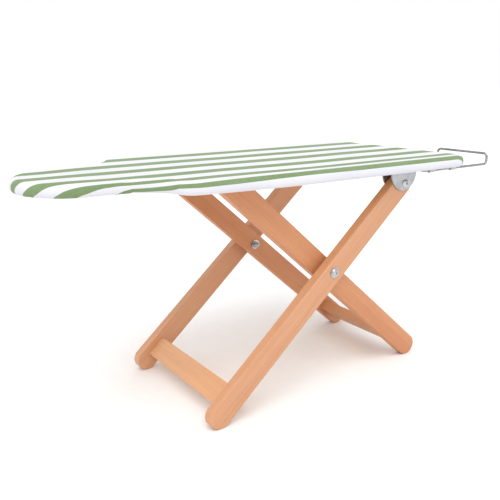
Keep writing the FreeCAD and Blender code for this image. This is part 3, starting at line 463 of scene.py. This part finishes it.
def build_cover(name):
    """The striped cover as one sheet: flat top, rounded edge, side and turned-in hem."""
    tip, end = COVER_LOW[0], COVER_HIGH[0]
    spine_low, spine_high = tip + NOSE_RADIUS, end - SPINE_SHORT_OF_END
    profile, gains = cover_profile(), edge_gains()
    mesh = bmesh.new()
    cloth_uv, stripe_uv = mesh.loops.layers.uv.new("cloth"), mesh.loops.layers.uv.new("stripes")
    flat = {}

    def vertex(place, along, across, number):
        point = mesh.verts.new(place)
        flat[point] = (along, across, number)
        return point

    rows = []
    shares = [0.0, 0.1, 0.2, 0.3, 0.4, 0.5, 0.6, 0.68, 0.76, 0.83, 0.89, 0.94, 0.975]
    for station, (edge, normal, _) in enumerate(OUTLINE):
        row = []
        rim = edge - normal * TOP_ROUND
        spine = Vector((min(max(rim.x, spine_low), spine_high), 0))
        for share in shares:
            place = spine.lerp(rim, share)
            ripple = noise.noise(Vector((place.x * 9, place.y * 14, 4))) * 0.00035
            row.append(vertex((place.x, place.y, COVER_HIGH[2] + ripple * (1 - share ** 4)),
                              *place, stripe_number(*place)))
        travelled, last = 0.0, None
        for inset, height, depth in profile:
            if last is not None:
                travelled += math.hypot(inset - last[0], height - last[1])
            last = (inset, height)
            place = edge - normal * (inset - gather(station, depth))
            cloth = rim + normal * travelled
            row.append(vertex((place.x, place.y, height), *cloth,
                              stripe_number(*rim) + between(travelled, DEPTHS, gains[station])))
        rows.append(row)
    for row, following in zip(rows, rows[1:] + rows[:1]):
        for k in range(len(row) - 1):
            face = mesh.faces.new((row[k], row[k + 1], following[k + 1], following[k]))
            face.smooth = True
            for loop in face.loops:
                along, across, number = flat[loop.vert]
                loop[cloth_uv].uv = (along, across)
                loop[stripe_uv].uv = (along, number + 0.5)
    bmesh.ops.remove_doubles(mesh, verts=mesh.verts, dist=1e-6)
    bmesh.ops.recalc_face_normals(mesh, faces=mesh.faces)
    return finish_mesh(mesh, name, striped_cotton())


def finish_mesh(mesh, name, material):
    """Turn a bmesh into an object in the scene with one material."""
    data = bpy.data.meshes.new(name)
    mesh.to_mesh(data)
    mesh.free()
    piece = bpy.data.objects.new(name, data)
    bpy.context.collection.objects.link(piece)
    data.materials.append(material)
    return piece


def cover_area(down):
    """Flat area of the cover: its plan and the strip that goes down and under the edge."""
    plan = length = 0.0
    for (a, _, _), (b, _, _) in zip(OUTLINE, OUTLINE[1:] + OUTLINE[:1]):
        plan += (a.x * b.y - b.x * a.y) / 2
        length += (b - a).length
    return abs(plan) + length * down


def cover():
    """The finished cover: the sheet with a thickness."""
    piece = build_cover("cover")
    solidify = piece.modifiers.new("Solidify", "SOLIDIFY")
    solidify.thickness, solidify.offset = COVER_THICKNESS, -1.0
    profile = cover_profile()
    down = sum(math.hypot(b[0] - a[0], b[1] - a[1]) for a, b in zip(profile, profile[1:]))
    down -= TOP_ROUND
    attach(piece, "board")
    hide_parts("board_cover")
    cover_area(down)
    return piece


def padding():
    """The felt over the board and round its edge: a closed, slightly crowned wrap."""
    mesh = bmesh.new()
    low, high, ceiling = PAD_LOW[2], PAD_HIGH[2], CORE_HIGH[2]
    margin = COVER_HIGH[1] - PAD_HIGH[1] + PADDING_GAP
    top_round, low_round = TOP_ROUND - margin, HEM_ROUND - margin - PADDING_SHARPER_BELOW
    spine_low, spine_high = COVER_LOW[0] + NOSE_RADIUS, COVER_HIGH[0] - SPINE_SHORT_OF_END
    rows = []
    for edge, normal, _ in OUTLINE[::2]:
        rim = edge - normal * (margin + top_round)
        spine = Vector((min(max(rim.x, spine_low), spine_high), 0))
        row = []
        for share in (0.0, 0.4, 0.75, 0.92):
            place = spine.lerp(rim, share)
            puff = 0.00012 * noise.noise(Vector((place.x * 30, place.y * 30, 1)))
            row.append(mesh.verts.new((place.x, place.y, high - PADDING_GAP + puff)))
        section = []
        for i in range(7):
            angle = math.radians(90 * (1 - i / 6))
            section.append((margin + top_round * (1 - math.cos(angle)),
                            high - PADDING_GAP - top_round * (1 - math.sin(angle))))
        for i in range(7):
            angle = math.radians(90 * i / 6)
            section.append((margin + low_round * (1 - math.cos(angle)),
                            low + low_round * (1 - math.sin(angle))))
        section += [(CORE_INSET - PADDING_GAP, low + PADDING_GAP),
                    (CORE_INSET - PADDING_GAP, ceiling + PADDING_GAP)]
        for inset, height in section:
            place = edge - normal * inset
            row.append(mesh.verts.new((place.x, place.y, height)))
        inner = edge - normal * (CORE_INSET - PADDING_GAP)
        for share in (0.75, 0.4, 0.0):
            place = spine.lerp(inner, share)
            row.append(mesh.verts.new((place.x, place.y, ceiling + PADDING_GAP)))
        rows.append(row)
    for row, following in zip(rows, rows[1:] + rows[:1]):
        for k in range(len(row) - 1):
            mesh.faces.new((row[k], row[k + 1], following[k + 1], following[k])).smooth = True
    bmesh.ops.remove_doubles(mesh, verts=mesh.verts, dist=1e-6)
    bmesh.ops.recalc_face_normals(mesh, faces=mesh.faces)
    piece = finish_mesh(mesh, "padding", felt())
    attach(piece, "board")
    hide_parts("board_pad")
    return piece


def elastic_band():
    """The braid at the hem's inner edge: a rounded band that snakes a little as it pulls."""
    low, high = ELASTIC_LOW[2], ELASTIC_HIGH[2]
    middle, thick = (low + high) / 2, (high - low) / 2
    mesh = bmesh.new()
    layer = mesh.loops.layers.uv.new("cloth")
    rows, travelled, last = [], 0.0, None
    flat = {}
    for edge, normal, _ in OUTLINE:
        sway = 0.00025 * noise.noise(Vector((edge.x, edge.y, 9)) * 60)
        centre = edge - normal * (HEM_WIDTH + ELASTIC_WIDTH / 2 + sway)
        travelled += 0.0 if last is None else (centre - last).length
        last = centre
        row = []
        for i in range(12):
            angle = 2 * math.pi * i / 12
            cosine, sine = math.cos(angle), math.sin(angle)
            side = math.copysign(abs(cosine) ** 0.6, cosine) * ELASTIC_WIDTH / 2
            lift = math.copysign(abs(sine) ** 0.8, sine) * thick * 0.92
            point = mesh.verts.new((*(centre + normal * side), middle + lift))
            flat[point] = (travelled, side)
            row.append(point)
        rows.append(row)
    for row, following in zip(rows, rows[1:] + rows[:1]):
        for k in range(len(row)):
            other = (k + 1) % len(row)
            face = mesh.faces.new((row[k], row[other], following[other], following[k]))
            face.smooth = True
            for loop in face.loops:
                loop[layer].uv = flat[loop.vert]
    bmesh.ops.recalc_face_normals(mesh, faces=mesh.faces)
    piece = finish_mesh(mesh, "hem_elastic_band", braid())
    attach(piece, "board")
    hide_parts("hem_elastic")
    return piece


def hem_stitches():
    """A row of short stitches just outside the elastic, seen from below."""
    thread = Shader("sewing_thread")
    twist = thread.noise(thread.object_space(), 1500.0, 2.0)
    thread.set(Base_Color=thread.mix(twist, srgb(236, 236, 232), srgb(214, 214, 210)),
               Roughness=0.7, Normal=thread.bump(twist, 0.4, 0.0001))
    mesh = bmesh.new()
    pitch, length, radius = 0.0036, 0.0026, 0.00028
    z = COVER_LOW[2] - radius * 0.2
    for edge, normal, _ in plan_outline(pitch):
        tangent = Vector((-normal.y, normal.x))
        centre = edge - normal * HEM_WIDTH * STITCHES_AT
        rings = []
        for share, size in ((-0.5, 0.35), (-0.32, 1.0), (0.32, 1.0), (0.5, 0.35)):
            middle = centre + tangent * length * share
            rings.append([mesh.verts.new((
                middle.x + normal.x * radius * size * math.cos(a),
                middle.y + normal.y * radius * size * math.cos(a),
                z + radius * size * math.sin(a))) for a in (math.pi * j / 3 for j in range(6))])
        for ring, following in zip(rings, rings[1:]):
            for j in range(6):
                k = (j + 1) % 6
                mesh.faces.new((ring[j], ring[k], following[k], following[j])).smooth = True
        mesh.faces.new(rings[0][::-1])
        mesh.faces.new(rings[-1])
    bmesh.ops.recalc_face_normals(mesh, faces=mesh.faces)
    piece = finish_mesh(mesh, "hem_stitches", thread.material)
    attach(piece, "board")
    return piece


# ------------------------------------------------------------------ finishes for CAD nodes
def dress(material, *nodes):
    """Give CAD nodes a material in place of every slot that they have."""
    for node in nodes:
        piece = frame["nodes"][node]
        for slot in piece.material_slots:
            slot.material = material


def dress_stand():
    """Beech for the legs and stretchers, each leg from its own plank."""
    pale = (srgb(208, 154, 116), srgb(201, 144, 104), srgb(184, 122, 84), srgb(140, 86, 54))
    rosy = (srgb(204, 141, 97), srgb(195, 130, 86), srgb(176, 109, 70), srgb(132, 76, 46))
    rail = (srgb(220, 168, 126), srgb(211, 156, 112), srgb(192, 132, 90), srgb(146, 92, 58))
    turn_a, turn_b = (0, LEAN, 0), (0, -LEAN, 0)
    for k, side in enumerate(("near", "far")):
        dress(wood(f"beech_a_{side}", pale, turn_a, shift=0.31 + 0.4 * k, grain=0.75),
              f"leg_a_{side}")
        dress(wood(f"beech_b_{side}", rosy, turn_b, shift=1.7 + 0.5 * k, grain=0.75),
              f"leg_b_{side}")
    dress(wood("beech_stretcher_a", rail, turn_a, along="Y", shift=0.9, grain=0.75),
          "stretcher_a", "stretcher_a_dowels")
    dress(wood("beech_stretcher_b", pale, turn_b, along="Y", shift=2.3, grain=0.75),
          "stretcher_b", "stretcher_b_dowels")


def dress_board():
    """Birch plywood for the core."""
    birch = (srgb(222, 196, 156), srgb(212, 182, 140), srgb(190, 154, 112), srgb(160, 122, 84))
    dress(wood("plywood", birch, grain=0.8), "board_core")


def dress_steel():
    """Zinc sheet, zinc-plated fasteners, bright wire, and the nylon spacers between legs."""
    bright, dull = srgb(190, 193, 195), srgb(168, 171, 174)
    sides = ("near", "far")
    sheet = steel("zinc_sheet", (bright, dull), 0.38, spangle=0.25)
    fastener = steel("zinc_fastener", (srgb(198, 200, 202), srgb(168, 170, 172)), 0.24)
    wire = steel("bright_wire", (srgb(158, 160, 163), srgb(132, 134, 138)), 0.16)
    dress(sheet, *(f"hinge_bracket_{s}" for s in sides), *(f"catch_plate_{s}" for s in sides))
    dress(sheet, *(f"rest_clip_{s}_{p}" for s in sides for p in ("back", "front")))
    names = ("hinge_bolt", "hinge_nut", "pivot_bolt", "pivot_nut", "pivot_head_washer",
             "pivot_nut_washer")
    dress(fastener, *(f"{n}_{s}" for n in names for s in sides))
    dress(fastener, "catch_rod", "hinge_bracket_screws", "catch_plate_screws", "rest_clip_screws")
    dress(wire, "iron_rest")
    dress(nylon(), *(f"pivot_spacer_{s}" for s in sides))


# ------------------------------------------------------------------ stage, light and camera
FLOOR_HALF_WIDTH = 30.0
WORLD_STRENGTH = 1.0
SOFTBOX_STRENGTH, SOFTBOX_SPREAD = 1.5, math.radians(50)
SOFTBOX_AIM = Vector((0.35, 0.50, -1.0))
CAMERA_LENS, CAMERA_SENSOR = 45.12, 36.0
CAMERA_FROM_PIVOT = Vector((-0.6021, -0.7697, 0.4612))
CAMERA_DOWN, CAMERA_TURN = math.radians(15.16), math.radians(34.84)


def stage():
    """A wide pale floor that runs out to the horizon."""
    pale = Shader("studio_floor")
    speckle = pale.noise(pale.object_space(), 40.0, 3.0)
    share = pale.span(speckle, 0.3, 0.7)
    pale.set(Base_Color=pale.mix(share, srgb(243, 243, 243), srgb(241, 241, 242)), Roughness=0.9)
    mesh = bmesh.new()
    bmesh.ops.create_grid(mesh, x_segments=8, y_segments=8, size=FLOOR_HALF_WIDTH)
    floor = finish_mesh(mesh, "floor", pale.material)


def light():
    """White all round, and one very soft light from above."""
    world = bpy.data.worlds.new("studio")
    world.use_nodes = True
    world.node_tree.nodes["Background"].inputs["Color"].default_value = (1, 1, 1, 1)
    world.node_tree.nodes["Background"].inputs["Strength"].default_value = WORLD_STRENGTH
    scene = bpy.context.scene
    scene.world = world
    scene.view_settings.view_transform = "Standard"
    scene.view_settings.look = "None"
    data = bpy.data.lights.new("softbox", "SUN")
    data.energy, data.angle = SOFTBOX_STRENGTH, SOFTBOX_SPREAD
    lamp = bpy.data.objects.new("softbox", data)
    bpy.context.collection.objects.link(lamp)
    lamp.rotation_euler = SOFTBOX_AIM.to_track_quat("-Z", "Y").to_euler()


def camera():
    """The camera, placed from the point on the floor under the pivots."""
    data = bpy.data.cameras.new("camera")
    data.lens, data.sensor_width = CAMERA_LENS, CAMERA_SENSOR
    eye = bpy.data.objects.new("camera", data)
    bpy.context.collection.objects.link(eye)
    eye.location = Vector((PIVOT.x, 0, 0)) + CAMERA_FROM_PIVOT
    eye.rotation_euler = (math.radians(90) - CAMERA_DOWN, 0, -CAMERA_TURN)
    bpy.context.scene.camera = eye


# ------------------------------------------------------------------ all together
elastic_band()
hem_stitches()
padding()
cover()
dress_board()
dress_stand()
dress_steel()
stage()
light()
camera()
